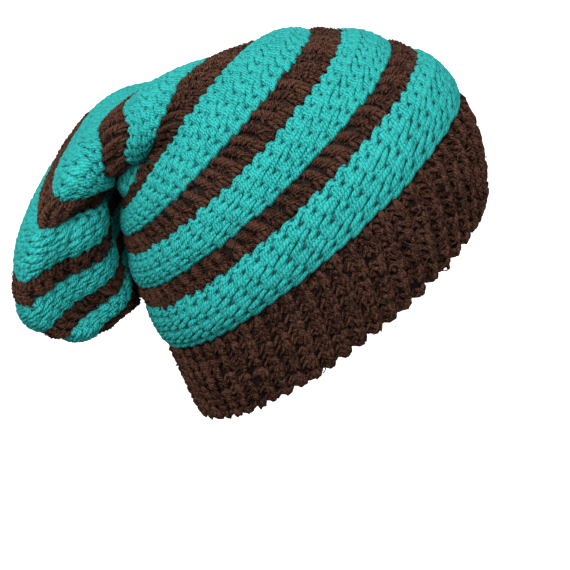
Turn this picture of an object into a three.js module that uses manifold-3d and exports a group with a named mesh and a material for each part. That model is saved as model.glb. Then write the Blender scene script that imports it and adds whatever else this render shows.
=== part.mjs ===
// A crocheted slouchy hat in its worn form. It is one tube of fabric, worked upwards from the rim:
// a ribbed brim, then teal and brown stripes in turn. The tube rises over the crown, folds down
// behind it in a pouch, and closes in a gathered end that is tucked under.
// Millimetres, +Z up, forehead towards -Y, pouch towards +Y, wearer's right towards -X.
// The origin is the centre of the rim, where the hat sits on a head.
import * as THREE from 'three';
import Module from 'manifold-3d';
import { mergeVertices } from 'three/addons/utils/BufferGeometryUtils.js';

const wasm = await Module();
wasm.setup();

// Sizes of the crochet, measured along the fabric
const brimHeight = 46;
const tealHeight = 27;
const brownHeight = 16;
const stripePairs = 8;

// The wall is as thick as two-ply crochet in a chunky yarn
const wallThickness = 3.5;
const seamGap = 0.4;
const smallestEdge = 0.05;

// How far the middle of each band stands out from its two seams
const brimPuff = 3;
const tealPuff = 2;
const brownPuff = 1;

// Facets round the hat, and rows of facets up each band
const facetsRound = 40;
const brimRows = 3;
const stripeRows = 2;

// The gathered end: how far its middle stands out, and its rows of facets
const endDome = 6;
const endRows = 3;

// One row for each seam between two bands, from the rim to the gathered end. A seam is a closed
// loop that crosses the hat's middle plane twice: at its outer point (forehead, then the top and
// the back of the pouch) and at its inner point (nape, then the crease behind the crown).
const columns = ['outerY', 'outerZ', 'innerY', 'innerZ', 'halfWidth', 'hug', 'lead', 'squareness'];
const seams = [
  // halfWidth is half the loop's size across the hat, hug draws the inner side round the back of
  // the crown, lead moves the wearer's right side ahead, and squareness under 1 fills the corners
  [-73, 59, 73, -59, 78, 0, 0, 1.0],      // rim
  [-58, 110, 88, -20, 83, 0, 0, 1.0],     // teal 1
  [-37, 130, 99, 2, 84, 0, 0, 1.0],       // brown 1
  [-24, 134, 103, 13, 82, 0, 0, 1.0],     // teal 2
  [0, 139, 107, 31, 77, 0, 0, 1.0],       // brown 2
  [16, 140, 109, 40, 71, 0, 2, 1.0],      // teal 3
  [43, 136, 109, 53, 60, 0, 6, 0.95],     // brown 3
  [62, 128, 107, 61, 56, 0, 9, 0.9],      // teal 4, in the deep fold
  [94, 112, 109, 69, 57, 0, 8, 0.85],     // brown 4
  [109, 103, 113, 73, 60, 2, 6, 0.85],    // teal 5
  [136, 82, 118, 72, 66, 5, 4, 0.85],     // brown 5
  [147, 67, 120, 65, 70, 8, 2, 0.9],      // teal 6
  [161, 32, 119, 52, 75, 10, 0, 0.9],     // brown 6
  [162, 15, 118, 43, 74, 10, 0, 0.9],     // teal 7
  [154, -4, 116, 32, 67, 10, 0, 0.95],    // brown 7
  [143, -10, 113, 23, 60, 9, 0, 0.95],    // teal 8
  [126, -10, 109, 13, 49, 6, 0, 0.95],    // brown 8
  [115, -5, 106, 6, 36, 3, 0, 0.9],       // gathered end
];

const tealYarn = new THREE.MeshStandardMaterial({ color: 0x2fb3a6, roughness: 0.95, metalness: 0 });
const brownYarn = new THREE.MeshStandardMaterial({ color: 0x3b2a22, roughness: 0.95, metalness: 0 });

// The bands in order, each with its name, height, puff, rows and yarn
function listBands() {
  const bands = [{ name: 'brim', height: brimHeight, puff: brimPuff, rows: brimRows, yarn: brownYarn }];
  for (let pair = 1; pair <= stripePairs; pair += 1) {
    bands.push({
      name: `teal_stripe_${pair}`, height: tealHeight, puff: tealPuff, rows: stripeRows, yarn: tealYarn,
    });
    bands.push({
      name: `brown_stripe_${pair}`, height: brownHeight, puff: brownPuff, rows: stripeRows, yarn: brownYarn,
    });
  }
  return bands;
}

// The distance along the fabric, from the rim, at which each seam lies
function seamDistances(bands) {
  const distances = [0];
  for (const band of bands) {
    distances.push(distances[distances.length - 1] + band.height);
  }
  return distances;
}

// A natural cubic spline through the points (xs, ys), as a function of x
function naturalSpline(xs, ys) {
  const last = xs.length - 1;
  const bend = new Array(last + 1).fill(0);
  const ratio = new Array(last + 1).fill(0);
  for (let i = 1; i < last; i += 1) {
    const before = xs[i] - xs[i - 1];
    const after = xs[i + 1] - xs[i];
    const turn = (ys[i + 1] - ys[i]) / after - (ys[i] - ys[i - 1]) / before;
    const pivot = 2 * (before + after) - before * ratio[i - 1];
    ratio[i] = after / pivot;
    bend[i] = (6 * turn - before * bend[i - 1]) / pivot;
  }
  for (let i = last - 1; i > 0; i -= 1) {
    bend[i] -= ratio[i] * bend[i + 1];
  }
  return (x) => {
    let i = 0;
    while (i < last - 1 && x > xs[i + 1]) i += 1;
    const step = xs[i + 1] - xs[i];
    const b = (x - xs[i]) / step;
    const a = 1 - b;
    const curve = ((a ** 3 - a) * bend[i] + (b ** 3 - b) * bend[i + 1]) * step * step / 6;
    return a * ys[i] + b * ys[i + 1] + curve;
  };
}

const bands = listBands();
const distances = seamDistances(bands);
const splines = columns.map((name, c) => naturalSpline(distances, seams.map((row) => row[c])));

// The seam values at any distance along the fabric
function sectionAt(distance) {
  return Object.fromEntries(columns.map((name, c) => [name, splines[c](distance)]));
}

// A sine or cosine whose curve is filled out towards a square
function squared(value, squareness) {
  return Math.sign(value) * Math.abs(value) ** squareness;
}

// A point of the fabric's outer face. The angle is 0 at the outer point and a quarter turn on the
// wearer's right.
function facePoint(distance, angle) {
  const s = sectionAt(distance);
  const across = squared(Math.sin(angle), s.squareness);
  const along = squared(Math.cos(angle), s.squareness);
  const reachY = (s.outerY - s.innerY) / 2;
  const reachZ = (s.outerZ - s.innerZ) / 2;
  const reach = Math.hypot(reachY, reachZ);
  const hug = Math.cos(angle) < 0 ? s.hug * Math.sin(2 * angle) ** 2 : 0;
  const lead = s.lead * across * (1 + along);
  return new THREE.Vector3(
    -s.halfWidth * across,
    (s.outerY + s.innerY) / 2 + reachY * along - hug + lead * reachZ / reach,
    (s.outerZ + s.innerZ) / 2 + reachZ * along - lead * reachY / reach,
  );
}

// The fabric's direction up the hat and its outward normal at a point of the face, with its
// stretch: 1 where it lies smooth, less where it is gathered in the crease
function faceFrame(distance, angle) {
  const stepUp = 0.5;
  const stepRound = 0.02;
  const low = Math.max(distance - stepUp, 0);
  const high = Math.min(distance + stepUp, distances[distances.length - 1]);
  const up = facePoint(high, angle).sub(facePoint(low, angle));
  const stretch = Math.min(up.length() / (high - low), 1);
  const round = facePoint(distance, angle + stepRound).sub(facePoint(distance, angle - stepRound));
  return { up: up.normalize(), normal: up.clone().cross(round).normalize(), stretch };
}

// A closed body between two grids of points with the same rows: an outer face and an inner face.
// A grid that ends in a single point closes there.
function shellGeometry(outer, inner) {
  const positions = [];
  const triangles = [];
  const addGrid = (rows) => rows.map((row) => row.map((point) => positions.push(...point) / 3 - 1));
  const addQuad = (a, b, c, d) => {
    if (a !== b) triangles.push(a, b, c);
    if (c !== d) triangles.push(a, c, d);
  };
  const joinRows = (low, high) => {
    for (let j = 0; j < facetsRound; j += 1) {
      const k = (j + 1) % facetsRound;
      const at = (row, index) => row[Math.min(index, row.length - 1)];
      addQuad(at(low, k), at(low, j), at(high, j), at(high, k));
    }
  };
  const outerRows = addGrid(outer);
  const innerRows = addGrid(inner);
  for (let i = 0; i < outerRows.length - 1; i += 1) {
    joinRows(outerRows[i], outerRows[i + 1]);
    joinRows(innerRows[i + 1], innerRows[i]);
  }
  joinRows(innerRows[0], outerRows[0]);
  if (outerRows.at(-1).length > 1) joinRows(outerRows.at(-1), innerRows.at(-1));
  const geometry = new THREE.BufferGeometry();
  geometry.setAttribute('position', new THREE.Float32BufferAttribute(positions, 3));
  geometry.setIndex(triangles);
  geometry.computeVertexNormals();
  return geometry;
}

function angles() {
  return Array.from({ length: facetsRound }, (unused, j) => (2 * Math.PI * j) / facetsRound);
}

// One band of the hat: a closed ring of wall, puffed between its seams, set back at each end and
// made thicker by swell on both faces
function bandGeometry(band, start, endSetBack, swell) {
  const outer = [];
  const inner = [];
  for (let i = 0; i <= band.rows; i += 1) {
    const share = i / band.rows;
    const distance = start + band.height * share;
    const setBack = (i === 0 ? endSetBack : 0) - (i === band.rows ? endSetBack : 0);
    const puff = band.puff * Math.sin(Math.PI * share);
    const outerRow = [];
    const innerRow = [];
    for (const angle of angles()) {
      const { up, normal, stretch } = faceFrame(distance, angle);
      const point = facePoint(distance, angle).addScaledVector(up, setBack);
      outerRow.push(point.clone().addScaledVector(normal, puff * stretch + swell));
      innerRow.push(point.clone().addScaledVector(normal, puff * stretch - wallThickness - swell));
    }
    outer.push(outerRow);
    inner.push(innerRow);
  }
  return shellGeometry(outer, inner);
}

// The gathered end: a low dome over the last seam, whose rows shrink to a point
function endGeometry() {
  const distance = distances[distances.length - 1];
  const s = sectionAt(distance);
  const centre = new THREE.Vector3(0, (s.outerY + s.innerY) / 2, (s.outerZ + s.innerZ) / 2);
  const towardsOuter = new THREE.Vector3(0, s.outerY - s.innerY, s.outerZ - s.innerZ).normalize();
  const outward = new THREE.Vector3(-1, 0, 0).cross(towardsOuter);
  const rim = angles().map((angle) => {
    const { up, normal } = faceFrame(distance, angle);
    const edge = facePoint(distance, angle).addScaledVector(up, seamGap / 2);
    return { edge, lining: edge.clone().addScaledVector(normal, -wallThickness) };
  });
  const row = (key, share, dome) => {
    const lift = centre.clone().addScaledVector(outward, dome * Math.sin((Math.PI / 2) * share));
    if (share === 1) return [lift];
    return rim.map((point) => point[key].clone().lerp(lift, share));
  };
  const shares = Array.from({ length: endRows + 1 }, (unused, i) => i / endRows);
  return shellGeometry(
    shares.map((share) => row('edge', share, endDome)),
    shares.map((share) => row('lining', share, endDome - wallThickness)),
  );
}

function toSolid(geometry) {
  const bare = geometry.clone();
  bare.deleteAttribute('normal');
  const merged = mergeVertices(bare);
  const vertProperties = new Float32Array(merged.getAttribute('position').array);
  const triVerts = new Uint32Array(merged.index.array);
  return new wasm.Manifold(new wasm.Mesh({ numProp: 3, vertProperties, triVerts }));
}

function toGeometry(solid) {
  const mesh = solid.getMesh();
  const geometry = new THREE.BufferGeometry();
  geometry.setAttribute('position', new THREE.BufferAttribute(mesh.vertProperties, 3));
  geometry.setIndex(new THREE.BufferAttribute(mesh.triVerts, 1));
  geometry.computeVertexNormals();
  return geometry;
}

// A band trimmed clear of the bands below it. It changes only where the gathered fabric of the
// crease would run into itself.
function trimmedGeometry(geometry, bodiesBelow) {
  let solid = toSolid(geometry);
  for (const body of bodiesBelow) {
    if (solid.intersect(body).volume() > 0) solid = solid.subtract(body);
  }
  const pieces = solid.decompose();
  pieces.sort((a, b) => b.volume() - a.volume());
  return toGeometry(pieces[0].simplify(smallestEdge));
}

function makeMesh(name, geometry, yarn) {
  const mesh = new THREE.Mesh(geometry, yarn.clone());
  mesh.name = name;
  return mesh;
}

const hat = new THREE.Group();
const bodiesBelow = [];
bands.forEach((band, i) => {
  const geometry = trimmedGeometry(bandGeometry(band, distances[i], seamGap / 2, 0), bodiesBelow);
  hat.add(makeMesh(band.name, geometry, band.yarn));
  const swollen = toSolid(bandGeometry(band, distances[i], 0, seamGap / 2));
  bodiesBelow.push(swollen.add(toSolid(geometry)));
});
hat.add(makeMesh('crown_end', trimmedGeometry(endGeometry(), bodiesBelow), brownYarn));

export default hat;
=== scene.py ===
import math

import bmesh
import bpy
import numpy as np
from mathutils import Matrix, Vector


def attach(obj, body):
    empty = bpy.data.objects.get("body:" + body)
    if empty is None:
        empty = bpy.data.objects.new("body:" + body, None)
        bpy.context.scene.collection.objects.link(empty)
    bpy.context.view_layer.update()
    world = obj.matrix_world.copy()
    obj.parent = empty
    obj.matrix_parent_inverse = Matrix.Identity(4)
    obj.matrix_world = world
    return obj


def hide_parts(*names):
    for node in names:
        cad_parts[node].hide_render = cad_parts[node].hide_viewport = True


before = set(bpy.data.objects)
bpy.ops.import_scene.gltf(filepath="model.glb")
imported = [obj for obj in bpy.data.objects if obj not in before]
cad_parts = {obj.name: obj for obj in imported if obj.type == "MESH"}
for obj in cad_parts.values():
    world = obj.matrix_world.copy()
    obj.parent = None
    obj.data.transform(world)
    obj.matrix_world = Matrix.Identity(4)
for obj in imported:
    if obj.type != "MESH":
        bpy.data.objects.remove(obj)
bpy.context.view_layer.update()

# The brim: a band of front-and-back post crochet in dark brown chunky acrylic yarn. Its ribs stand
# across the band and end in round scallops at the rim. The hat is worked upwards from it, so the
# form of the whole hat starts here. Lengths are in mm.

MILLIMETRE = 0.001
BRIM_HEIGHT = 46
TEAL_HEIGHT = 27
BROWN_HEIGHT = 16
STRIPE_PAIRS = 8
WALL_THICKNESS = 3.5
SEAM_GAP = 0.4

# Where the sides sink in beside the fold: the depth, the first degree round the hat, the distance
# along the fabric at 90 degrees and its change per degree, the half width, and how much wider the
# valley grows on its upper side
VALLEYS = (
    (21, 72, 168, 0.6, 11, 20),  # under the pouch's neck
    (26, 86, 262, -0.15, 10, 0),  # between brown 5 and teal 6
    (16, 74, 315, 0, 60, 0),  # the pouch's near side
)
# Distances along the fabric, and how far the stripes slide there beside the fold
SLIDE_DISTANCES = (159, 175, 202, 218, 245, 261)
SLIDES = (0, -5, -17, -15, -5, 2)

# The walls' patterns and stitches find their place by the loom UV map, which runs round the band
# and up it: 0 to 1 on the face, and from these heights on the lining and the two edges
LINING_MAP_START = 10
EDGE_MAP_HEIGHT = 20

RIBS = 58
RIB_WIDTH = 9.4
RIB_CREST = 0.24
RIB_ROWS = 10
RIB_ROW_HEIGHT = 4.6

# Each row is the loop where a band starts: its outer and inner points, half its width, how far
# its inner side hugs the crown, how far its near half leads, and how square its corners are,
# where 1 is an ellipse and less is squarer
SEAM_COLUMNS = (
    "outer_y", "outer_z", "inner_y", "inner_z", "half_width", "hug", "lead", "squareness",
)
SEAMS = (
    (-73, 59, 73, -59, 78, 0, 0, 1.0),  # rim
    (-58, 110, 88, -20, 83, 0, 0, 1.0),  # teal 1
    (-37, 130, 99, 2, 84, 0, 0, 1.0),  # brown 1
    (-24, 134, 103, 13, 82, 0, 0, 1.0),  # teal 2
    (0, 139, 107, 31, 77, 0, 0, 1.0),  # brown 2
    (16, 140, 109, 40, 71, 0, 2, 1.0),  # teal 3
    (43, 136, 109, 53, 60, 0, 6, 0.95),  # brown 3
    (62, 128, 107, 61, 56, 0, 9, 0.9),  # teal 4, in the deep fold
    (94, 112, 109, 69, 57, 0, 8, 0.85),  # brown 4
    (109, 103, 113, 73, 60, 2, 6, 0.85),  # teal 5
    (136, 82, 118, 72, 66, 5, 4, 0.85),  # brown 5
    (147, 67, 120, 65, 70, 8, 2, 0.9),  # teal 6
    (161, 32, 119, 52, 75, 10, 0, 0.9),  # brown 6
    (162, 15, 118, 43, 74, 10, 0, 0.9),  # teal 7
    (154, -4, 116, 32, 67, 10, 0, 0.95),  # brown 7
    (143, -10, 113, 23, 60, 9, 0, 0.95),  # teal 8
    (126, -10, 109, 13, 49, 6, 0, 0.95),  # brown 8
    (115, -5, 106, 6, 36, 3, 0, 0.9),  # gathered end
)
SEAM_DISTANCES = np.cumsum([0, BRIM_HEIGHT] + [TEAL_HEIGHT, BROWN_HEIGHT] * STRIPE_PAIRS)


def spline_bends(xs, rows):
    """The second derivatives of the natural cubic spline through each column of rows."""
    steps = np.diff(xs)
    system = np.eye(len(xs))
    target = np.zeros(rows.shape)
    for i in range(1, len(xs) - 1):
        system[i, i - 1 : i + 2] = steps[i - 1], 2 * (steps[i - 1] + steps[i]), steps[i]
        after = (rows[i + 1] - rows[i]) / steps[i]
        before = (rows[i] - rows[i - 1]) / steps[i - 1]
        target[i] = 6 * (after - before)
    return np.linalg.solve(system, target)


SEAM_ROWS = np.array(SEAMS, float)
SEAM_BENDS = spline_bends(SEAM_DISTANCES, SEAM_ROWS)


def section_at(distances):
    """The seam values at each distance along the fabric, by name."""
    i = np.clip(np.searchsorted(SEAM_DISTANCES, distances) - 1, 0, len(SEAMS) - 2)
    step = (SEAM_DISTANCES[i + 1] - SEAM_DISTANCES[i])[:, None]
    b = (distances - SEAM_DISTANCES[i])[:, None] / step
    a = 1 - b
    curve = ((a**3 - a) * SEAM_BENDS[i] + (b**3 - b) * SEAM_BENDS[i + 1]) * step * step / 6
    values = a * SEAM_ROWS[i] + b * SEAM_ROWS[i + 1] + curve
    return dict(zip(SEAM_COLUMNS, values.T))


def eased(share):
    """A smooth step from 0 to 1."""
    share = np.clip(share, 0, 1)
    return share * share * (3 - 2 * share)


def from_outer(angles):
    """Degrees round the hat from its outer point, the same on both sides."""
    return np.degrees(np.abs((angles + math.pi) % (2 * math.pi) - math.pi))


def slid(distance, angles):
    """The distance at which a round lies at each angle: by the fold, stripes slide towards it."""
    degrees = from_outer(angles)
    # The slide is whole from 85 to 115 degrees and fades out to 20 and 160
    share = eased((degrees - 20) / 65) * eased((160 - degrees) / 45)
    return distance + share * np.interp(distance, SLIDE_DISTANCES, SLIDES)


def valley_depth(distance, degrees):
    """How far in mm the slack sinks on each side, where the stripes run down into the fold."""
    depth = 0
    for deepest, start, middle, slope, width, widening in VALLEYS:
        # A valley deepens over 35 degrees from its start and closes in the last 25 of the inner side
        reach = eased((degrees - start) / 35) * eased((178 - degrees) / 25)
        from_middle = distance - middle - (degrees - 90) * slope
        spread = width + np.where(from_middle > 0, widening * eased((degrees - 95) / 25), 0)
        depth = np.hypot(depth, deepest * reach * np.exp(-((from_middle / spread) ** 2)))
    return depth


def face_points(distance, angles):
    """Points of the fabric's face: angle 0 is the outer point, a quarter turn the wearer's right."""
    lies_at = slid(distance, angles)
    s = section_at(lies_at)
    across = np.sign(np.sin(angles)) * np.abs(np.sin(angles)) ** s["squareness"]
    across = across * (1 - valley_depth(lies_at, from_outer(angles)) / s["half_width"])
    along = np.sign(np.cos(angles)) * np.abs(np.cos(angles)) ** s["squareness"]
    reach_y = (s["outer_y"] - s["inner_y"]) / 2
    reach_z = (s["outer_z"] - s["inner_z"]) / 2
    reach = np.hypot(reach_y, reach_z)
    hug = np.where(np.cos(angles) < 0, s["hug"] * np.sin(2 * angles) ** 2, 0)
    lead = s["lead"] * across * (1 + along)
    return np.stack(
        [
            -s["half_width"] * across,
            (s["outer_y"] + s["inner_y"]) / 2 + reach_y * along - hug + lead * reach_z / reach,
            (s["outer_z"] + s["inner_z"]) / 2 + reach_z * along - lead * reach_y / reach,
        ],
        axis=1,
    )


def unit(vectors):
    """The vectors at length 1, a row each."""
    return vectors / np.linalg.norm(vectors, axis=1, keepdims=True)


# Beside the fold a stripe stands out fuller: where, over how many degrees, and by what share
SLACK_MIDDLE = 112
SLACK_SPREAD = 26
SLACK_FULLNESS = 1.1
# Steps round the hat from which the evenly spaced points of a ring are found
RING_SAMPLES = 720


def ring(distance, count):
    """Evenly spaced points round the hat with their outward and upward directions, and how full a
    stripe is there: less where it is bunched, more where its slack rolls over beside the fold."""
    angles = np.linspace(0, 2 * math.pi, RING_SAMPLES, endpoint=False)
    points = face_points(distance, angles)
    low = max(distance - 0.5, 0)
    high = min(distance + 0.5, SEAM_DISTANCES[-1])
    climb = (face_points(high, angles) - face_points(low, angles)) / (high - low)
    fullness = np.minimum(np.linalg.norm(climb, axis=1), 1)
    from_slack = (from_outer(angles) - SLACK_MIDDLE) / SLACK_SPREAD
    fullness = fullness * (1 + SLACK_FULLNESS * np.exp(-(from_slack**2)))
    upward = unit(climb)
    outward = unit(np.cross(upward, np.roll(points, -1, axis=0) - np.roll(points, 1, axis=0)))
    closed = np.hstack([points, outward, upward, fullness[:, None]])
    closed = np.vstack([closed, closed[:1]])
    lengths = np.linalg.norm(np.diff(closed[:, :3], axis=0), axis=1)
    travelled = np.concatenate([[0], np.cumsum(lengths)])
    wanted = np.arange(count) / count * travelled[-1]
    even = np.stack([np.interp(wanted, travelled, closed[:, c]) for c in range(10)], axis=1)
    return even[:, :3], unit(even[:, 3:6]), unit(even[:, 6:9]), even[:, 9:]


def wall_object(name, rows, materials):
    """A closed wall with a loom UV map, from rows of (face, lining, outward, upward) rings."""
    count = len(rows[0][0])
    levels = len(rows) - 1
    vertices = np.vstack([row[0] for row in rows] + [row[1] for row in rows]) * MILLIMETRE
    outward = np.vstack([row[2] for row in rows] + [-row[2] for row in rows])
    upward = np.vstack([row[3] for row in rows] * 2)
    faces, loom, slots = [], [], []

    def add_strip(low, high, v_low, v_high, slot):
        for j in range(count):
            k = (j + 1) % count
            faces.append((low + k, low + j, high + j, high + k))
            u, w = j / count, (j + 1) / count
            loom.extend([(w, v_low), (u, v_low), (u, v_high), (w, v_high)])
            slots.append(slot)

    lining = (levels + 1) * count
    for i in range(levels):
        low, high = i * count, (i + 1) * count
        v_low, v_high = i / levels, (i + 1) / levels
        add_strip(low, high, v_low, v_high, 0)
        add_strip(
            lining + high, lining + low, LINING_MAP_START + v_high, LINING_MAP_START + v_low, 1
        )
    add_strip(lining, 0, EDGE_MAP_HEIGHT, EDGE_MAP_HEIGHT, 0)
    add_strip(levels * count, lining + levels * count, EDGE_MAP_HEIGHT, EDGE_MAP_HEIGHT, 0)
    mesh = bpy.data.meshes.new(name)
    mesh.from_pydata(vertices.tolist(), [], faces)
    mesh.uv_layers.new(name="loom").data.foreach_set("uv", np.array(loom, np.float32).ravel())
    for label, values in (("outward", outward), ("upward", upward)):
        layer = mesh.attributes.new(label, "FLOAT_VECTOR", "POINT")
        layer.data.foreach_set("vector", values.astype(np.float32).ravel())
    for material in materials:
        mesh.materials.append(material)
    mesh.polygons.foreach_set("material_index", slots)
    mesh.polygons.foreach_set("use_smooth", [True] * len(faces))
    wall = bpy.data.objects.new(name, mesh)
    bpy.context.scene.collection.objects.link(wall)
    return wall


def band_rows(start, height, levels, count, puff, roundness, sink, ripple=0.0):
    """Rings of a band's wall. The face stands out by puff, with edges that roll in, and lies sink
    under the crochet's own face. A ripple makes it stand out and in along the ribs."""
    rows = []
    ribbed = np.cos(2 * math.pi * (np.arange(count) / count * RIBS - RIB_CREST))[:, None]
    for i in range(levels + 1):
        share = i / levels
        points, outward, upward, fullness = ring(start + height * share, count)
        set_back = SEAM_GAP / 2 * ((i == 0) - (i == levels))
        rise = puff * (1 - abs(2 * share - 1) ** roundness) * fullness + ripple * ribbed
        points = points + upward * set_back
        rows.append(
            (
                points + outward * (rise - sink),
                points + outward * (rise - WALL_THICKNESS),
                outward,
                upward,
            )
        )
    return rows


# The length along a strand of one unit of its ply UV map
PLY_UNIT = 10


def strand(path, half_width, half_depth, taper, sides, steps):
    """One length of yarn along a smooth path: its corners, faces and ply UVs."""
    knots = np.array(path, float)
    chord = np.concatenate([[0], np.cumsum(np.linalg.norm(np.diff(knots, axis=0), axis=1))])
    bends = spline_bends(chord, knots)
    shares = np.linspace(0, 1, steps + 1)
    centres = []
    for place in shares * chord[-1]:
        i = int(np.clip(np.searchsorted(chord, place) - 1, 0, len(chord) - 2))
        step = chord[i + 1] - chord[i]
        b = (place - chord[i]) / step
        a = 1 - b
        curve = ((a**3 - a) * bends[i] + (b**3 - b) * bends[i + 1]) * step * step / 6
        centres.append(a * knots[i] + b * knots[i + 1] + curve)
    centres = np.array(centres)
    tangents = unit(np.gradient(centres, axis=0))
    side = unit(np.cross(tangents, (0, 0, 1)))
    front = np.cross(side, tangents)
    corners, faces, plies = [], [], []
    for i, share in enumerate(shares):
        fullness = taper + (1 - taper) * math.sin(math.pi * share) ** 0.6
        for k in range(sides):
            turn = 2 * math.pi * k / sides
            spread = half_width * math.cos(turn) * side[i] + half_depth * math.sin(turn) * front[i]
            corners.append(centres[i] + fullness * spread)
    for i in range(steps):
        for k in range(sides):
            n = (k + 1) % sides
            faces.append((i * sides + k, (i + 1) * sides + k, (i + 1) * sides + n, i * sides + n))
            near, far = (chord[-1] * shares[j] / PLY_UNIT for j in (i, i + 1))
            u, w = k / sides, (k + 1) / sides
            plies.extend([(u, near), (u, far), (w, far), (w, near)])
    faces.append(tuple(range(sides)))
    faces.append(tuple(steps * sides + k for k in reversed(range(sides))))
    plies.extend([(0.5, 0)] * sides + [(0.5, chord[-1] / PLY_UNIT)] * sides)
    return corners, faces, plies


def stitch_object(name, strands):
    """A stitch of several strands, lying flat, for the crochet tree to repeat."""
    corners, faces, plies = [], [], []
    for some_corners, some_faces, some_plies in strands:
        faces.extend(tuple(len(corners) + c for c in face) for face in some_faces)
        corners.extend(tuple(c) for c in some_corners)
        plies.extend(some_plies)
    mesh = bpy.data.meshes.new(name)
    mesh.from_pydata(corners, [], faces)
    mesh.uv_layers.new(name="ply").data.foreach_set("uv", np.array(plies, np.float32).ravel())
    stitch = bpy.data.objects.new(name, mesh)
    bpy.context.scene.collection.objects.link(stitch)
    return stitch


def add_node(tree, kind, inputs=None, **settings):
    """Adds a node with its settings. Each input is a value or another node's output."""
    node = tree.nodes.new(kind)
    for setting, value in settings.items():
        setattr(node, setting, value)
    for key, value in (inputs or {}).items():
        if isinstance(value, bpy.types.NodeSocket):
            tree.links.new(value, node.inputs[key])
        else:
            node.inputs[key].default_value = value
    return node


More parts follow.
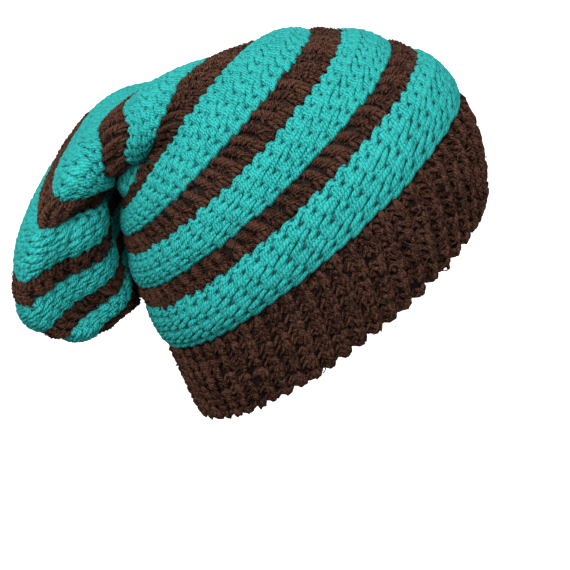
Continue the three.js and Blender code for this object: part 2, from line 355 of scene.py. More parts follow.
def crochet_tree():
    """Repeats a stitch round and up a band, and lays it on the band's face by its loom UV map."""
    tree = bpy.data.node_groups.new("crochet", "GeometryNodeTree")
    for label, kind in (
        ("Wall", "NodeSocketGeometry"),
        ("Stitch", "NodeSocketObject"),
        ("Stitches", "NodeSocketInt"),
        ("Rounds", "NodeSocketInt"),
        ("Stitch width", "NodeSocketFloat"),
        ("Round height", "NodeSocketFloat"),
        ("Band height", "NodeSocketFloat"),
        ("First height", "NodeSocketFloat"),
        ("Shift", "NodeSocketFloat"),
        ("Looseness", "NodeSocketFloat"),
        ("Tilt", "NodeSocketFloat"),
        ("Spread", "NodeSocketFloat"),
        ("Map start", "NodeSocketFloat"),
        ("Seed", "NodeSocketInt"),
        ("Yarn", "NodeSocketMaterial"),
    ):
        tree.interface.new_socket(label, in_out="INPUT", socket_type=kind)
    tree.interface.new_socket("Crochet", in_out="OUTPUT", socket_type="NodeSocketGeometry")
    asked = add_node(tree, "NodeGroupInput").outputs
    math_node, vector_node = "ShaderNodeMath", "ShaderNodeVectorMath"

    # Where each stitch lies, counted along the round and then up
    count = add_node(
        tree, math_node, {0: asked["Stitches"], 1: asked["Rounds"]}, operation="MULTIPLY"
    )
    index = add_node(tree, "GeometryNodeInputIndex")
    column = add_node(
        tree, math_node, {0: index.outputs[0], 1: asked["Stitches"]}, operation="MODULO"
    )
    turns = add_node(
        tree, math_node, {0: index.outputs[0], 1: asked["Stitches"]}, operation="DIVIDE"
    )
    row = add_node(tree, math_node, {0: turns.outputs[0]}, operation="FLOOR")
    shifted = add_node(
        tree, math_node, {0: row.outputs[0], 1: asked["Shift"], 2: column.outputs[0]},
        operation="MULTIPLY_ADD",
    )
    x = add_node(
        tree, math_node, {0: shifted.outputs[0], 1: asked["Stitch width"]}, operation="MULTIPLY"
    )
    y = add_node(
        tree, math_node, {0: row.outputs[0], 1: asked["Round height"], 2: asked["First height"]},
        operation="MULTIPLY_ADD",
    )
    place = add_node(tree, "ShaderNodeCombineXYZ", {0: x.outputs[0], 1: y.outputs[0]})
    stray = add_node(
        tree, "FunctionNodeRandomValue", {0: (-1, -1, 0), 1: (1, 1, 0), 8: asked["Seed"]},
        data_type="FLOAT_VECTOR",
    )
    strayed = add_node(
        tree, vector_node, {0: stray.outputs[0], 3: asked["Looseness"]}, operation="SCALE"
    )
    spot = add_node(tree, vector_node, {0: place.outputs[0], 1: strayed.outputs[0]}, operation="ADD")
    line = add_node(tree, "GeometryNodeMeshLine", {0: count.outputs[0]})
    points = add_node(tree, "GeometryNodeSetPosition", {0: line.outputs[0], 2: spot.outputs[0]})

    # The stitch itself, each one turned and sized a little differently
    tilt_seed = add_node(tree, math_node, {0: asked["Seed"], 1: 1}, operation="ADD")
    size_seed = add_node(tree, math_node, {0: asked["Seed"], 1: 2}, operation="ADD")
    tone_seed = add_node(tree, math_node, {0: asked["Seed"], 1: 3}, operation="ADD")
    turn = add_node(
        tree, "FunctionNodeRandomValue", {2: -1.0, 3: 1.0, 8: tilt_seed.outputs[0]}, data_type="FLOAT"
    )
    tilted = add_node(tree, math_node, {0: turn.outputs[1], 1: asked["Tilt"]}, operation="MULTIPLY")
    rotation = add_node(tree, "ShaderNodeCombineXYZ", {2: tilted.outputs[0]})
    sized = add_node(
        tree, "FunctionNodeRandomValue", {2: -1.0, 3: 1.0, 8: size_seed.outputs[0]}, data_type="FLOAT"
    )
    size = add_node(
        tree, math_node, {0: sized.outputs[1], 1: asked["Spread"], 2: 1.0}, operation="MULTIPLY_ADD"
    )
    tone = add_node(
        tree, "FunctionNodeRandomValue", {2: 0.0, 3: 1.0, 8: tone_seed.outputs[0]}, data_type="FLOAT"
    )
    stitch = add_node(tree, "GeometryNodeObjectInfo", {0: asked["Stitch"]})
    repeated = add_node(
        tree, "GeometryNodeInstanceOnPoints",
        {
            "Points": points.outputs[0], "Instance": stitch.outputs["Geometry"],
            "Rotation": rotation.outputs[0], "Scale": size.outputs[0],
        },
    )
    toned = add_node(
        tree, "GeometryNodeStoreNamedAttribute",
        {"Geometry": repeated.outputs[0], "Name": "stitch_tone", "Value": tone.outputs[1]},
        data_type="FLOAT", domain="INSTANCE",
    )
    flat = add_node(tree, "GeometryNodeRealizeInstances", {0: toned.outputs[0]})

    # From the flat crochet to the wall: round and up by UV, outwards by height
    position = add_node(tree, "GeometryNodeInputPosition")
    parts = add_node(tree, "ShaderNodeSeparateXYZ", {0: position.outputs[0]})
    length = add_node(
        tree, math_node, {0: asked["Stitches"], 1: asked["Stitch width"]}, operation="MULTIPLY"
    )
    share = add_node(tree, math_node, {0: parts.outputs[0], 1: length.outputs[0]}, operation="DIVIDE")
    u = add_node(tree, math_node, {0: share.outputs[0]}, operation="FRACT")
    height = add_node(
        tree, math_node, {0: parts.outputs[1], 1: asked["Band height"]}, operation="DIVIDE"
    )
    # Kept just inside the band's map, so that a stitch over its edge finds the wall too
    v = add_node(tree, "ShaderNodeClamp", {0: height.outputs[0], 1: 0.003, 2: 0.997})
    beyond = add_node(tree, math_node, {0: height.outputs[0], 1: v.outputs[0]}, operation="SUBTRACT")
    over = add_node(
        tree, math_node, {0: beyond.outputs[0], 1: asked["Band height"]}, operation="MULTIPLY"
    )
    over_metres = add_node(tree, math_node, {0: over.outputs[0], 1: MILLIMETRE}, operation="MULTIPLY")
    lift_metres = add_node(tree, math_node, {0: parts.outputs[2], 1: MILLIMETRE}, operation="MULTIPLY")
    on_side = add_node(tree, math_node, {0: v.outputs[0], 1: asked["Map start"]}, operation="ADD")
    spot_uv = add_node(tree, "ShaderNodeCombineXYZ", {0: u.outputs[0], 1: on_side.outputs[0]})
    loom = add_node(
        tree, "GeometryNodeInputNamedAttribute", {"Name": "loom"}, data_type="FLOAT_VECTOR"
    )
    found = {}
    for label in ("place", "outward", "upward"):
        if label == "place":
            field = add_node(tree, "GeometryNodeInputPosition")
        else:
            field = add_node(
                tree, "GeometryNodeInputNamedAttribute", {"Name": label}, data_type="FLOAT_VECTOR"
            )
        found[label] = add_node(
            tree, "GeometryNodeSampleUVSurface",
            {
                "Mesh": asked["Wall"], "Value": field.outputs[0],
                "Source UV Map": loom.outputs[0], "Sample UV": spot_uv.outputs[0],
            },
            data_type="FLOAT_VECTOR",
        )
    lifted = add_node(
        tree, vector_node, {0: found["outward"].outputs[0], 3: lift_metres.outputs[0]},
        operation="SCALE",
    )
    climbed = add_node(
        tree, vector_node, {0: found["upward"].outputs[0], 3: over_metres.outputs[0]},
        operation="SCALE",
    )
    moved = add_node(
        tree, vector_node, {0: lifted.outputs[0], 1: climbed.outputs[0]}, operation="ADD"
    )
    target = add_node(
        tree, vector_node, {0: found["place"].outputs[0], 1: moved.outputs[0]}, operation="ADD"
    )
    laid = add_node(tree, "GeometryNodeSetPosition", {0: flat.outputs[0], 2: target.outputs[0]})
    smooth = add_node(tree, "GeometryNodeSetShadeSmooth", {0: laid.outputs[0]})
    yarn = add_node(
        tree, "GeometryNodeSetMaterial", {"Geometry": smooth.outputs[0], "Material": asked["Yarn"]}
    )
    add_node(tree, "NodeGroupOutput", {0: yarn.outputs[0]})
    return tree


CROCHET = crochet_tree()


def crochet_piece(name, wall, node, courses):
    """Works each course of stitches over a wall, and makes the wall and all of them one plain mesh
    that replaces a node. A course gives the tree's inputs by name."""
    layers = [wall.data]
    for course in courses:
        modifier = wall.modifiers.new("crochet", "NODES")
        modifier.node_group = CROCHET
        for socket in CROCHET.interface.items_tree:
            label = socket.name.replace(" ", "_").lower()
            if socket.in_out == "INPUT" and label in course:
                modifier[socket.identifier] = course[label]
        depsgraph = bpy.context.evaluated_depsgraph_get()
        layers.append(
            bpy.data.meshes.new_from_object(
                wall.evaluated_get(depsgraph), preserve_all_data_layers=True, depsgraph=depsgraph
            )
        )
        wall.modifiers.remove(modifier)
    mesh = bpy.data.meshes.new(name)
    joined = bmesh.new()
    for layer in layers:
        slots = np.zeros(len(layer.polygons), np.int32)
        layer.polygons.foreach_get("material_index", slots)
        layer.polygons.foreach_set("material_index", slots + len(mesh.materials))
        for material in layer.materials:
            mesh.materials.append(material)
        joined.from_mesh(layer)
    joined.to_mesh(mesh)
    joined.free()
    bpy.data.objects.remove(wall)
    piece = bpy.data.objects.new(name, mesh)
    bpy.context.scene.collection.objects.link(piece)
    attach(piece, "root")
    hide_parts(node)


def linear(hex_colour):
    """An sRGB hex colour as linear red, green, blue and alpha."""
    channels = [int(hex_colour[i : i + 2], 16) / 255 for i in (1, 3, 5)]
    return tuple(c / 12.92 if c <= 0.04045 else ((c + 0.055) / 1.055) ** 2.4 for c in channels) + (1,)


def yarn_material(name, dark, middle, light, contrast, plies, twist, mottle, relief_mm):
    """Chunky spun acrylic yarn, dull and soft: streaks of ply that wind round each strand, with
    their contrast and relief, fuzz that clumps by mottle, and stitches that differ in tone. The
    colour paints shade into the grooves between plies, and the fuzz lighter, partly its own tone
    and partly a painted highlight."""
    material = bpy.data.materials.new(name)
    material.use_nodes = True
    tree = material.node_tree
    tree.nodes.clear()
    ply = add_node(tree, "ShaderNodeUVMap", uv_map="ply")
    axes = add_node(tree, "ShaderNodeSeparateXYZ", {0: ply.outputs[0]})
    # The plies wind round the strand, twist turns in 10 mm; the map's unit along it is 10 mm
    wound = add_node(tree, "ShaderNodeMath", {0: axes.outputs[1], 1: twist}, operation="MULTIPLY")
    around = add_node(
        tree, "ShaderNodeMath", {0: axes.outputs[0], 1: wound.outputs[0]}, operation="ADD"
    )
    phase = add_node(
        tree, "ShaderNodeMath", {0: around.outputs[0], 1: math.pi * plies}, operation="MULTIPLY"
    )
    coordinates = add_node(tree, "ShaderNodeTexCoord")
    # Loose fibres bunch at about 1.2 mm
    fuzz = add_node(
        tree, "ShaderNodeTexNoise",
        {"Vector": coordinates.outputs["Object"], "Scale": 850.0, "Detail": 3.0, "Roughness": 0.6},
    )
    wander = add_node(
        tree, "ShaderNodeMath", {0: fuzz.outputs["Fac"], 1: 6.0, 2: phase.outputs[0]},
        operation="MULTIPLY_ADD",
    )
    wave = add_node(tree, "ShaderNodeMath", {0: wander.outputs[0]}, operation="SINE")
    streak = add_node(tree, "ShaderNodeMath", {0: wave.outputs[0]}, operation="ABSOLUTE")
    tone = add_node(tree, "ShaderNodeAttribute", attribute_name="stitch_tone")
    # Clumps of fuzz lie about 2 mm apart
    clumps = add_node(
        tree, "ShaderNodeTexNoise",
        {"Vector": coordinates.outputs["Object"], "Scale": 520.0, "Detail": 2.0, "Roughness": 0.7},
    )
    clumped = add_node(
        tree, "ShaderNodeMath", {0: clumps.outputs["Fac"], 1: 0.5}, operation="SUBTRACT"
    )
    fuzzy = add_node(
        tree, "ShaderNodeMath", {0: clumped.outputs[0], 1: mottle, 2: fuzz.outputs["Fac"]},
        operation="MULTIPLY_ADD",
    )
    shade = add_node(
        tree, "ShaderNodeMath", {0: streak.outputs[0], 1: contrast, 2: fuzzy.outputs[0]},
        operation="MULTIPLY_ADD",
    )
    toned = add_node(
        tree, "ShaderNodeMath", {0: tone.outputs["Fac"], 1: 0.25, 2: shade.outputs[0]},
        operation="MULTIPLY_ADD",
    )
    # The ramp paints the colour: darker in the grooves between plies as painted shade, lighter in the
    # fuzz as partly the fibres' own tone and partly a painted highlight, and each stitch's own tone
    ramp = add_node(tree, "ShaderNodeValToRGB", {0: toned.outputs[0]})
    ramp.color_ramp.elements[0].position = 0.42
    ramp.color_ramp.elements[0].color = linear(dark)
    ramp.color_ramp.elements[1].position = 1.0
    ramp.color_ramp.elements[1].color = linear(light)
    ramp.color_ramp.elements.new(0.72).color = linear(middle)
    relief = add_node(
        tree, "ShaderNodeBump",
        {"Strength": 1.0, "Distance": relief_mm * MILLIMETRE, "Height": streak.outputs[0]},
    )
    fluff = add_node(
        tree, "ShaderNodeBump",
        {
            "Strength": 0.6, "Distance": 0.0006, "Height": fuzzy.outputs[0],
            "Normal": relief.outputs[0],
        },
    )
    shader = add_node(
        tree, "ShaderNodeBsdfPrincipled",
        {
            "Base Color": ramp.outputs[0], "Roughness": 0.9, "IOR": 1.49,
            "Specular IOR Level": 0.15, "Sheen Weight": 0.06, "Sheen Roughness": 0.5,
            "Sheen Tint": linear(light), "Normal": fluff.outputs[0],
        },
    )
    add_node(tree, "ShaderNodeOutputMaterial", {0: shader.outputs[0]})
    return material


def core_material(name, hex_colour):
    """Plain fuzzy yarn of one colour, for what shows only between or along the strands."""
    material = bpy.data.materials.new(name)
    material.use_nodes = True
    tree = material.node_tree
    tree.nodes.clear()
    coordinates = add_node(tree, "ShaderNodeTexCoord")
    # Tufts about 1.4 mm apart
    fuzz = add_node(
        tree, "ShaderNodeTexNoise",
        {"Vector": coordinates.outputs["Object"], "Scale": 700.0, "Detail": 3.0},
    )
    ramp = add_node(tree, "ShaderNodeValToRGB", {0: fuzz.outputs["Fac"]})
    ramp.color_ramp.elements[0].position = 0.35
    ramp.color_ramp.elements[0].color = tuple(c * 0.55 for c in linear(hex_colour)[:3]) + (1,)
    ramp.color_ramp.elements[1].position = 0.65
    ramp.color_ramp.elements[1].color = linear(hex_colour)
    relief = add_node(
        tree, "ShaderNodeBump", {"Strength": 0.7, "Distance": 0.0008, "Height": fuzz.outputs["Fac"]}
    )
    shader = add_node(
        tree, "ShaderNodeBsdfPrincipled",
        {"Base Color": ramp.outputs[0], "Roughness": 0.95, "Normal": relief.outputs[0]},
    )
    add_node(tree, "ShaderNodeOutputMaterial", {0: shader.outputs[0]})
    return material


def lining_material(name, dark, light, stitches, rounds):
    """The back of the crochet inside the hat: rows of small loops from the loom UV map, with painted
    shade in the low rows between them.
    """
    material = bpy.data.materials.new(name)
    material.use_nodes = True
    tree = material.node_tree
    tree.nodes.clear()
    loom = add_node(tree, "ShaderNodeUVMap", uv_map="loom")
    axes = add_node(tree, "ShaderNodeSeparateXYZ", {0: loom.outputs[0]})
    along = add_node(
        tree, "ShaderNodeMath", {0: axes.outputs[0], 1: 2 * math.pi * stitches}, operation="MULTIPLY"
    )
    slant = add_node(
        tree, "ShaderNodeMath", {0: axes.outputs[1], 1: math.pi * rounds, 2: along.outputs[0]},
        operation="MULTIPLY_ADD",
    )
    loops = add_node(tree, "ShaderNodeMath", {0: slant.outputs[0]}, operation="SINE")
    climb = add_node(
        tree, "ShaderNodeMath", {0: axes.outputs[1], 1: 4 * math.pi * rounds}, operation="MULTIPLY"
    )
    lines = add_node(tree, "ShaderNodeMath", {0: climb.outputs[0]}, operation="COSINE")
    both = add_node(
        tree, "ShaderNodeMath", {0: loops.outputs[0], 1: lines.outputs[0]}, operation="MAXIMUM"
    )
    height = add_node(
        tree, "ShaderNodeMath", {0: both.outputs[0], 1: 0.5, 2: 0.5}, operation="MULTIPLY_ADD"
    )
    coordinates = add_node(tree, "ShaderNodeTexCoord")
    fuzz = add_node(
        tree, "ShaderNodeTexNoise",
        {"Vector": coordinates.outputs["Object"], "Scale": 850.0, "Detail": 3.0},
    )
    shade = add_node(
        tree, "ShaderNodeMath", {0: height.outputs[0], 1: 0.5, 2: fuzz.outputs["Fac"]},
        operation="MULTIPLY_ADD",
    )
    # The ramp darkens the low rows between the loops as painted shade; the fuzz flecks are the yarn's
    # own tone
    ramp = add_node(tree, "ShaderNodeValToRGB", {0: shade.outputs[0]})
    ramp.color_ramp.elements[0].position = 0.4
    ramp.color_ramp.elements[0].color = linear(dark)
    ramp.color_ramp.elements[1].position = 1.0
    ramp.color_ramp.elements[1].color = linear(light)
    relief = add_node(
        tree, "ShaderNodeBump", {"Strength": 0.9, "Distance": 0.0015, "Height": shade.outputs[0]}
    )
    shader = add_node(
        tree, "ShaderNodeBsdfPrincipled",
        {
            "Base Color": ramp.outputs[0], "Roughness": 0.92, "Sheen Weight": 0.2,
            "Normal": relief.outputs[0],
        },
    )
    add_node(tree, "ShaderNodeOutputMaterial", {0: shader.outputs[0]})
    return material


# Brushed dark yarn: fine twisted plies with painted shade in their grooves, under clumps of fuzz that
# are partly their own tone and partly a painted highlight where they catch the light
BROWN_YARN = yarn_material(
    "brown_acrylic_yarn", "#120806", "#341d15", "#694535", contrast=0.36, plies=5, twist=1.4,
    mottle=1.1, relief_mm=0.45,
)
# Painted shade: the wall behind the brown strands is nearly black, as their deep holes look in shade
BROWN_CORE = core_material("brown_yarn_in_shade", "#1a0d09")
BRIM_LINING = lining_material("brown_brim_lining", "#150a07", "#40281f", stitches=RIBS, rounds=3)


def bowed(start, end, height, bow, half_width, half_depth, low=0.0, steps=6, sides=5, taper=0.5):
    """A strand from start to end on the flat, arched from low to a height and bowed sideways."""
    (x0, y0), (x1, y1) = start, end
    length = math.hypot(x1 - x0, y1 - y0)
    side_x, side_y = -(y1 - y0) / length * bow, (x1 - x0) / length * bow
    path = [(x0, y0, low)]
    for share in (0.3, 0.7):
        path.append(
            (x0 + (x1 - x0) * share + side_x, y0 + (y1 - y0) * share + side_y, height)
        )
    path.append((x1, y1, low))
    return strand(path, half_width, half_depth, taper, sides, steps)


# The brim is worked sideways, so each rib is a crest of loops that runs up the band, with rows of
# small cross strands and holes in the valley beside it, dark with the painted shade of the nearly
# black wall behind. A bowed strand's numbers are its ends, height, bow, half width, half depth,
# the height of its ends, steps, sides and taper
rib_stitch = stitch_object(
    "rib_stitch",
    [
        bowed((0.7, -1.4), (2.0, 5.0), 2.7, 0.3, 1.1, 1.0, 1.8, 4, 4),
        bowed((3.4, -1.4), (2.4, 5.4), 2.8, -0.3, 1.1, 1.0, 1.8, 4, 4),
        bowed((2.6, 0.2), (7.0, 3.4), 1.9, 0.4, 1.3, 1.0, 0.9, 4, 4),
        bowed((5.8, 3.8), (10.1, 0.8), 2.0, 0.3, 1.3, 1.0, 0.9, 4, 4),
        bowed((5.0, -1.4), (8.6, 2.4), 1.4, 0.0, 1.4, 1.0, 0.4, 4, 4),
    ],
)
# The scallop in which a rib ends, and the yarn behind it that passes to the next one
rim_loop = stitch_object(
    "rim_loop",
    [
        strand(
            [(0.2, 3.0, 0.4), (1.6, -0.4, 1.2), (5.6, -0.5, 1.2), (8.8, 2.6, 0.2)],
            1.5, 1.5, 0.6, 5, 6,
        ),
        strand([(0.2, 1.6, -1.2), (3.8, -0.4, -0.8), (8.8, 1.6, -1.2)], 1.5, 1.5, 0.7, 5, 4),
    ],
)
# The two flat strands of a rib's inner side
rib_back = stitch_object(
    "rib_back",
    [
        bowed((2.0, -1.2), (3.4, 12.6), 1.7, 0.4, 2.0, 1.3, 0.4, 4, 4),
        bowed((5.4, -0.4), (6.4, 12.4), 1.2, 0.3, 2.0, 1.1, 0.0, 4, 4),
    ],
)
# A loose fibre that lies over the stitches, some standing a little off them
fibre = stitch_object(
    "loose_fibre",
    [
        strand(
            [(-2.4, 0, 1.4), (-0.9, 0.6, 2.9), (1.0, 0.4, 3.0), (2.5, -0.7, 1.6)],
            0.12, 0.12, 0.5, 3, 4,
        )
    ],
)
# Short curls of thinner ply that the brushed yarn throws up, which hide the edges of the stitches
curl = stitch_object(
    "brown_curl",
    [
        strand(
            [(-2.2, -0.9, 1.2), (-1.0, 0.6, 2.9), (0.8, 0.7, 3.0), (2.0, -0.8, 1.2)],
            0.5, 0.42, 0.5, 3, 4,
        ),
        strand(
            [(-1.4, 1.9, 1.0), (0.4, 1.2, 2.7), (1.5, -0.2, 2.7), (1.2, -2.0, 1.0)],
            0.45, 0.4, 0.5, 3, 4,
        ),
    ],
)
# Single fibres look lighter than the yarn, because light comes through them
BROWN_FIBRE = core_material("loose_brown_fibre", "#6b4b3b")
# How many curls and fibres lie round the brim, and in how many rows
CURLS = 64
CURL_ROWS = 13
FIBRES = 64
FIBRE_ROWS = 8
# What a course of stitches has unless it says otherwise
COURSE = {
    "first_height": 0.0, "shift": 0.0, "looseness": 0.3, "tilt": 0.06, "spread": 0.06,
    "map_start": 0.0,
}
rib_course = COURSE | {
    "stitch": rib_stitch, "stitches": RIBS, "rounds": RIB_ROWS, "stitch_width": RIB_WIDTH,
    "round_height": RIB_ROW_HEIGHT, "band_height": float(BRIM_HEIGHT), "yarn": BROWN_YARN,
    "seed": 11, "looseness": 0.6, "tilt": 0.22,
}
brim_wall = wall_object(
    "brim_wall",
    band_rows(
        0, BRIM_HEIGHT, levels=8, count=RIBS * 4, puff=1.2, roundness=2.5, sink=3.2, ripple=1.9
    ),
    (BROWN_CORE, BRIM_LINING),
)
crochet_piece(
    "brim_ribbing", brim_wall, "brim",
    [
        rib_course,
        rib_course | {"stitch": rim_loop, "rounds": 1, "seed": 15, "tilt": 0.08},
        rib_course | {
            "stitch": rib_back, "map_start": float(LINING_MAP_START), "seed": 19, "rounds": 4,
            "round_height": BRIM_HEIGHT / 4, "tilt": 0.06,
        },
        rib_course | {
            "stitch": curl, "stitches": CURLS, "stitch_width": RIB_WIDTH * RIBS / CURLS,
            "rounds": CURL_ROWS, "round_height": BRIM_HEIGHT / CURL_ROWS, "looseness": 3.0,
            "tilt": math.pi, "spread": 0.3, "first_height": 1.8, "seed": 27,
        },
        rib_course | {
            "stitch": fibre, "stitches": FIBRES, "stitch_width": RIB_WIDTH * 0.75,
            "rounds": FIBRE_ROWS, "round_height": BRIM_HEIGHT / FIBRE_ROWS, "looseness": 4.0,
            "tilt": math.pi, "spread": 0.35, "seed": 23, "yarn": BROWN_FIBRE,
        },
    ],
)

# The teal stripes: three rounds of tight crochet each, in teal chunky acrylic yarn. Four slanted
# strands show in every stitch, and the last round pokes small teeth into the brown above.

# Bright smooth yarn: its twist shows as short slanted strokes, from relief and from painted shade in
# the grooves between plies, with less fuzz than the brown
TEAL_YARN = yarn_material(
    "teal_acrylic_yarn", "#148581", "#1c9a96", "#33b8b3", contrast=0.62, plies=4, twist=1.4,
    mottle=0.5, relief_mm=0.34,
)
# Light between the strands, which lie close; in the holes where four of them meet, dark lenses of
# painted shade
TEAL_CORE = core_material("teal_yarn_in_shade", "#1a9490")
TEAL_HOLE_SHADE = core_material("dark_gap_between_teal_stitches", "#0b4b48")
TEAL_LINING = lining_material("teal_stripe_lining", "#0b605d", "#24a5a0", stitches=64, rounds=3)

STITCH_WIDTH = 8.7


def teal_strands(half_width):
    """The four passes of yarn that show in one teal stitch, all slanting down the round."""
    return [
        bowed((0.0, 2.3), (10.2, 0.3), 1.05, 0.2, half_width, 0.85, 0.1, 6, 5, 0.6),
        bowed((1.8, 4.9), (9.6, 2.1), 0.85, 0.3, half_width * 0.94, 0.85, 0.0, 6, 5, 0.45),
        bowed((-0.6, 6.7), (9.0, 4.5), 1.1, 0.2, half_width, 0.85, 0.1, 6, 5, 0.6),
        bowed((3.0, 9.3), (11.6, 6.6), 0.9, 0.3, half_width * 0.96, 0.85, 0.0, 6, 5, 0.5),
    ]


teal_stitch = stitch_object("teal_stitch", teal_strands(1.9))
# The first stripe is stretched over the head, so its stitches part in larger holes
open_stitch = stitch_object("open_teal_stitch", teal_strands(1.8))
teal_tooth = stitch_object(
    "teal_tooth", [bowed((0.6, -3.4), (3.6, 1.0), 1.3, 0.4, 1.5, 1.1, steps=5)]
)


def gap(x, y, half_width):
    """A small flat dark lens under the hole where four passes of yarn meet: painted shade."""
    start, end = (x - half_width, y + 0.3), (x + half_width, y - 0.3)
    return bowed(start, end, 0.5, 0.0, 0.9, 0.15, 0.4, 2, 4, 0.3)


teal_gaps = stitch_object("teal_gaps", [gap(1.3, 3.5, 0.9), gap(2.9, 7.9, 0.8)])
open_gaps = stitch_object("open_teal_gaps", [gap(1.3, 3.5, 1.4), gap(2.9, 7.9, 1.3)])
# The two rows of loops that a round shows inside the hat
teal_back = stitch_object(
    "teal_back",
    [
        bowed((0.0, 2.0), (8.9, 3.4), 1.3, 0.4, 1.5, 1.1, steps=4),
        bowed((1.0, 6.2), (9.6, 7.4), 1.3, -0.4, 1.5, 1.1, steps=4),
    ],
)
# Stitches in each stripe: fewer towards the gathered end, as the hat narrows
TEAL_STITCHES = (64, 64, 60, 50, 46, 46, 44, 40)
TEAL_ROUNDS = 3
# The lining's own loops are modelled only in the stripes that the open rim shows
OPEN_PAIRS = 2

for pair in range(STRIPE_PAIRS):
    start = BRIM_HEIGHT + pair * (TEAL_HEIGHT + BROWN_HEIGHT)
    teal_wall = wall_object(
        f"teal_wall_{pair + 1}",
        band_rows(start, TEAL_HEIGHT, levels=8, count=128, puff=2.6, roundness=3, sink=1.0),
        (TEAL_CORE, TEAL_LINING),
    )
    course = COURSE | {
        "stitch": teal_stitch if pair else open_stitch, "stitches": TEAL_STITCHES[pair],
        "rounds": TEAL_ROUNDS, "stitch_width": STITCH_WIDTH,
        "round_height": TEAL_HEIGHT / TEAL_ROUNDS, "band_height": float(TEAL_HEIGHT),
        "shift": 0.3, "seed": 100 + pair, "yarn": TEAL_YARN,
    }
    courses = [
        course,
        course | {"stitch": teal_tooth, "rounds": 1, "first_height": float(TEAL_HEIGHT)},
        # The lenses in the holes carry painted shade
        course | {"stitch": teal_gaps if pair else open_gaps, "yarn": TEAL_HOLE_SHADE},
    ]
    if pair < OPEN_PAIRS:
        courses.append(course | {"stitch": teal_back, "map_start": float(LINING_MAP_START)})
    crochet_piece(
        f"teal_crochet_{pair + 1}", teal_wall, f"teal_stripe_{pair + 1}", courses
    )

# The brown stripes: one round of tall crochet each, in the brim's brown yarn. Each stitch is a
# puff of curved strands with a gap beside it, dark with the painted shade of the nearly black wall
# behind, and lies a little lower than the teal.

BROWN_LINING = lining_material("brown_stripe_lining", "#150a07", "#40281f", stitches=64, rounds=1)
BROWN_STITCHES = (64, 62, 56, 48, 46, 46, 42, 34)
STRIPE_CURL_ROWS = 4
STRIPE_FIBRE_ROWS = 6
brown_stitch = stitch_object(
    "brown_stitch",
    [
        bowed((0.4, -1.2), (2.2, 6.6), 1.8, 0.5, 1.3, 1.0, 0.0, 4, 4, 0.6),
        bowed((3.2, -1.2), (3.8, 7.4), 2.3, 0.0, 1.3, 1.0, 0.2, 4, 4, 0.6),
        bowed((6.2, -1.2), (5.4, 8.2), 1.9, -0.5, 1.3, 1.0, 0.0, 4, 4, 0.6),
        bowed((-0.6, 4.0), (6.4, 8.0), 2.6, 0.6, 1.15, 0.9, 0.5, 4, 4, 0.6),
        bowed((-0.3, 6.0), (7.2, 10.4), 3.0, 0.6, 1.15, 0.9, 0.6, 4, 4, 0.6),
        bowed((0.3, 8.2), (7.6, 12.2), 3.1, 0.7, 1.15, 0.9, 0.6, 4, 4, 0.6),
        bowed((0.6, 10.4), (8.4, 14.0), 2.9, 0.6, 1.15, 0.9, 0.5, 4, 4, 0.6),
        bowed((1.4, 12.6), (8.8, 15.6), 2.4, 0.5, 1.15, 0.9, 0.3, 4, 4, 0.6),
        bowed((2.0, 14.4), (9.2, 17.0), 1.8, 0.4, 1.15, 0.9, 0.1, 4, 4, 0.6),
    ],
)
for pair in range(STRIPE_PAIRS):
    start = BRIM_HEIGHT + TEAL_HEIGHT + pair * (TEAL_HEIGHT + BROWN_HEIGHT)
    brown_wall = wall_object(
        f"brown_wall_{pair + 1}",
        band_rows(start, BROWN_HEIGHT, levels=6, count=128, puff=0.6, roundness=4, sink=2.4),
        (BROWN_CORE, BROWN_LINING),
    )
    course = COURSE | {
        "stitch": brown_stitch, "stitches": BROWN_STITCHES[pair], "rounds": 1,
        "stitch_width": STITCH_WIDTH, "round_height": float(BROWN_HEIGHT),
        "band_height": float(BROWN_HEIGHT), "looseness": 0.5, "tilt": 0.1, "seed": 200 + pair,
        "yarn": BROWN_YARN,
    }
    courses = [
        course,
        course | {
            "stitch": curl, "rounds": STRIPE_CURL_ROWS,
            "round_height": BROWN_HEIGHT / STRIPE_CURL_ROWS, "looseness": 3.5,
            "first_height": 2.0, "tilt": 0.9, "spread": 0.3,
        },
        course | {
            "stitch": fibre, "rounds": STRIPE_FIBRE_ROWS,
            "round_height": BROWN_HEIGHT / STRIPE_FIBRE_ROWS, "looseness": 4.0,
            "tilt": math.pi, "spread": 0.35, "yarn": BROWN_FIBRE,
        },
    ]
    crochet_piece(
        f"brown_crochet_{pair + 1}", brown_wall, f"brown_stripe_{pair + 1}", courses
    )

# The gathered end: the last brown round drawn together with a length of its own yarn, so that its
# tall stitches meet in a small pucker. It is tucked under the pouch.

END_DOME = 6
END_STITCHES = 20
# The wall stops just short of its middle, where the yarn is drawn together
END_REACH = 0.985
END_SINK = 2.2


def end_rows(levels, count):
    """Rings of the end's wall, which shrink towards its middle."""
    distance = SEAM_DISTANCES[-1]
    s = {key: values[0] for key, values in section_at(np.array([distance])).items()}
    middle = np.array([0, (s["outer_y"] + s["inner_y"]) / 2, (s["outer_z"] + s["inner_z"]) / 2])
    to_outer = np.array([0, s["outer_y"] - s["inner_y"], s["outer_z"] - s["inner_z"]])
    dome_axis = np.cross((-1, 0, 0), to_outer / np.linalg.norm(to_outer))
    points, outward, upward, _ = ring(distance, count)
    points = points + upward * SEAM_GAP / 2
    rows = []
    for i in range(levels + 1):
        share = END_REACH * i / levels
        bulge = dome_axis * END_DOME * math.sin(math.pi / 2 * share)
        place = points * (1 - share) + middle * share + bulge
        facing = unit(outward * (1 - share) + dome_axis * share * 1.5)
        climb = unit(upward * (1 - share) + unit(middle - points) * (share + 0.01))
        rows.append((place - facing * END_SINK, place - facing * WALL_THICKNESS, facing, climb))
    return rows


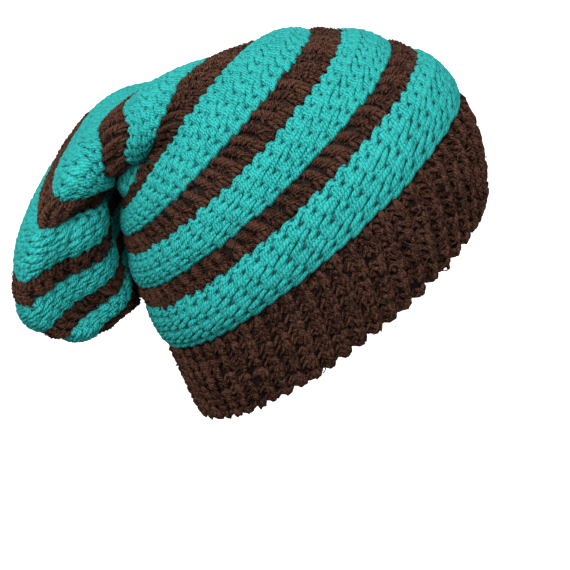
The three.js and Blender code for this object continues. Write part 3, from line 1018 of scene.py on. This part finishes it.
end_wall = wall_object("end_wall", end_rows(levels=6, count=96), (BROWN_CORE, BROWN_LINING))
end_course = COURSE | {
    "stitch": brown_stitch, "stitches": END_STITCHES, "rounds": 1, "stitch_width": STITCH_WIDTH,
    "round_height": float(BROWN_HEIGHT), "band_height": BROWN_HEIGHT + 1.0, "seed": 300,
    "yarn": BROWN_YARN,
}
crochet_piece("crown_gather", end_wall, "crown_end", [end_course])

# The flat stitches have done their work and aren't part of the hat
for stitch in (
    rib_stitch, rim_loop, rib_back, curl, fibre, teal_stitch, open_stitch, teal_tooth, teal_back,
    teal_gaps, open_gaps, brown_stitch,
):
    bpy.data.objects.remove(stitch)

# The studio: a wide pale floor well below the hat, an even soft light from above, and two large
# lamps on the wearer's right side, a bright one high behind and a faint one low in front.

floor_material = bpy.data.materials.new("matt_white_floor")
floor_material.use_nodes = True
floor_shader = floor_material.node_tree.nodes["Principled BSDF"]
floor_shader.inputs["Base Color"].default_value = linear("#fbfbfa")
floor_shader.inputs["Roughness"].default_value = 0.9
floor_shader.inputs["Emission Color"].default_value = linear("#ffffff")
floor_shader.inputs["Emission Strength"].default_value = 0.6
# The radius and height of the floor's rings in metres. It lies flat for 7 m and then rises gently,
# so that no horizon shows in a low view
FLOOR_RINGS = ((7.0, -0.33), (10.0, -0.15), (12.5, 0.4), (14.0, 1.4))
FLOOR_SIDES = 64
floor_corners = []
for radius, height in FLOOR_RINGS:
    for k in range(FLOOR_SIDES):
        turn = 2 * math.pi * k / FLOOR_SIDES
        floor_corners.append((radius * math.cos(turn), radius * math.sin(turn), height))
floor_faces = [tuple(range(FLOOR_SIDES))]
for inner in range(0, FLOOR_SIDES * (len(FLOOR_RINGS) - 1), FLOOR_SIDES):
    outer = inner + FLOOR_SIDES
    for k in range(FLOOR_SIDES):
        n = (k + 1) % FLOOR_SIDES
        floor_faces.append((inner + k, outer + k, outer + n, inner + n))
floor_mesh = bpy.data.meshes.new("studio_floor")
floor_mesh.from_pydata(floor_corners, [], floor_faces)
floor_mesh.materials.append(floor_material)
floor = bpy.data.objects.new("studio_floor", floor_mesh)
bpy.context.scene.collection.objects.link(floor)
# The floor shows white but throws no light up, so the hat's underside stays in shade
floor.visible_diffuse = False
floor.visible_glossy = False

world = bpy.data.worlds.new("studio_light")
bpy.context.scene.world = world
world.use_nodes = True
sky = world.node_tree
direction = add_node(sky, "ShaderNodeTexCoord")
height = add_node(sky, "ShaderNodeSeparateXYZ", {0: direction.outputs["Generated"]})
brightness = add_node(
    sky, "ShaderNodeMapRange",
    {
        "Value": height.outputs[2], "From Min": -0.25, "From Max": 0.35, "To Min": 0.08,
        "To Max": 0.8,
    },
)
sky.links.new(brightness.outputs[0], sky.nodes["Background"].inputs["Strength"])
sky.nodes["Background"].inputs["Color"].default_value = linear("#ffffff")
# Both lamps point at the middle of the hat. Places and sizes are in metres, power is in watts
HAT_MIDDLE = Vector((0, 0.04, 0.06))
for name, place, size, power in (
    ("key_lamp", (-1.0, 0.35, 0.9), 1.3, 18.5),
    ("side_lamp", (-0.45, -1.1, 0.45), 1.0, 2.5),
):
    lamp = bpy.data.objects.new(name, bpy.data.lights.new(name, "AREA"))
    lamp.data.shape = "DISK"
    lamp.data.size = size
    lamp.data.energy = power
    lamp.location = place
    lamp.rotation_euler = (HAT_MIDDLE - lamp.location).to_track_quat("-Z", "Y").to_euler()
    bpy.context.scene.collection.objects.link(lamp)

# The camera stands 0.9 m off at the wearer's right, 25 degrees above the rim, as in the photograph
AZIMUTH = math.radians(-87)
ELEVATION = math.radians(25)
CAMERA_DISTANCE = 0.9
CAMERA_AIM = Vector((0.0014, 0.0282, 0.0062))
camera = bpy.data.objects.new("camera", bpy.data.cameras.new("camera"))
camera.data.lens = 109.1
camera.data.sensor_width = 36
camera.location = CAMERA_DISTANCE * Vector(
    (
        math.sin(AZIMUTH) * math.cos(ELEVATION),
        -math.cos(AZIMUTH) * math.cos(ELEVATION),
        math.sin(ELEVATION),
    )
)
camera.rotation_euler = (CAMERA_AIM - camera.location).to_track_quat("-Z", "Y").to_euler()
bpy.context.scene.collection.objects.link(camera)
bpy.context.scene.camera = camera
bpy.context.scene.view_settings.view_transform = "Standard"
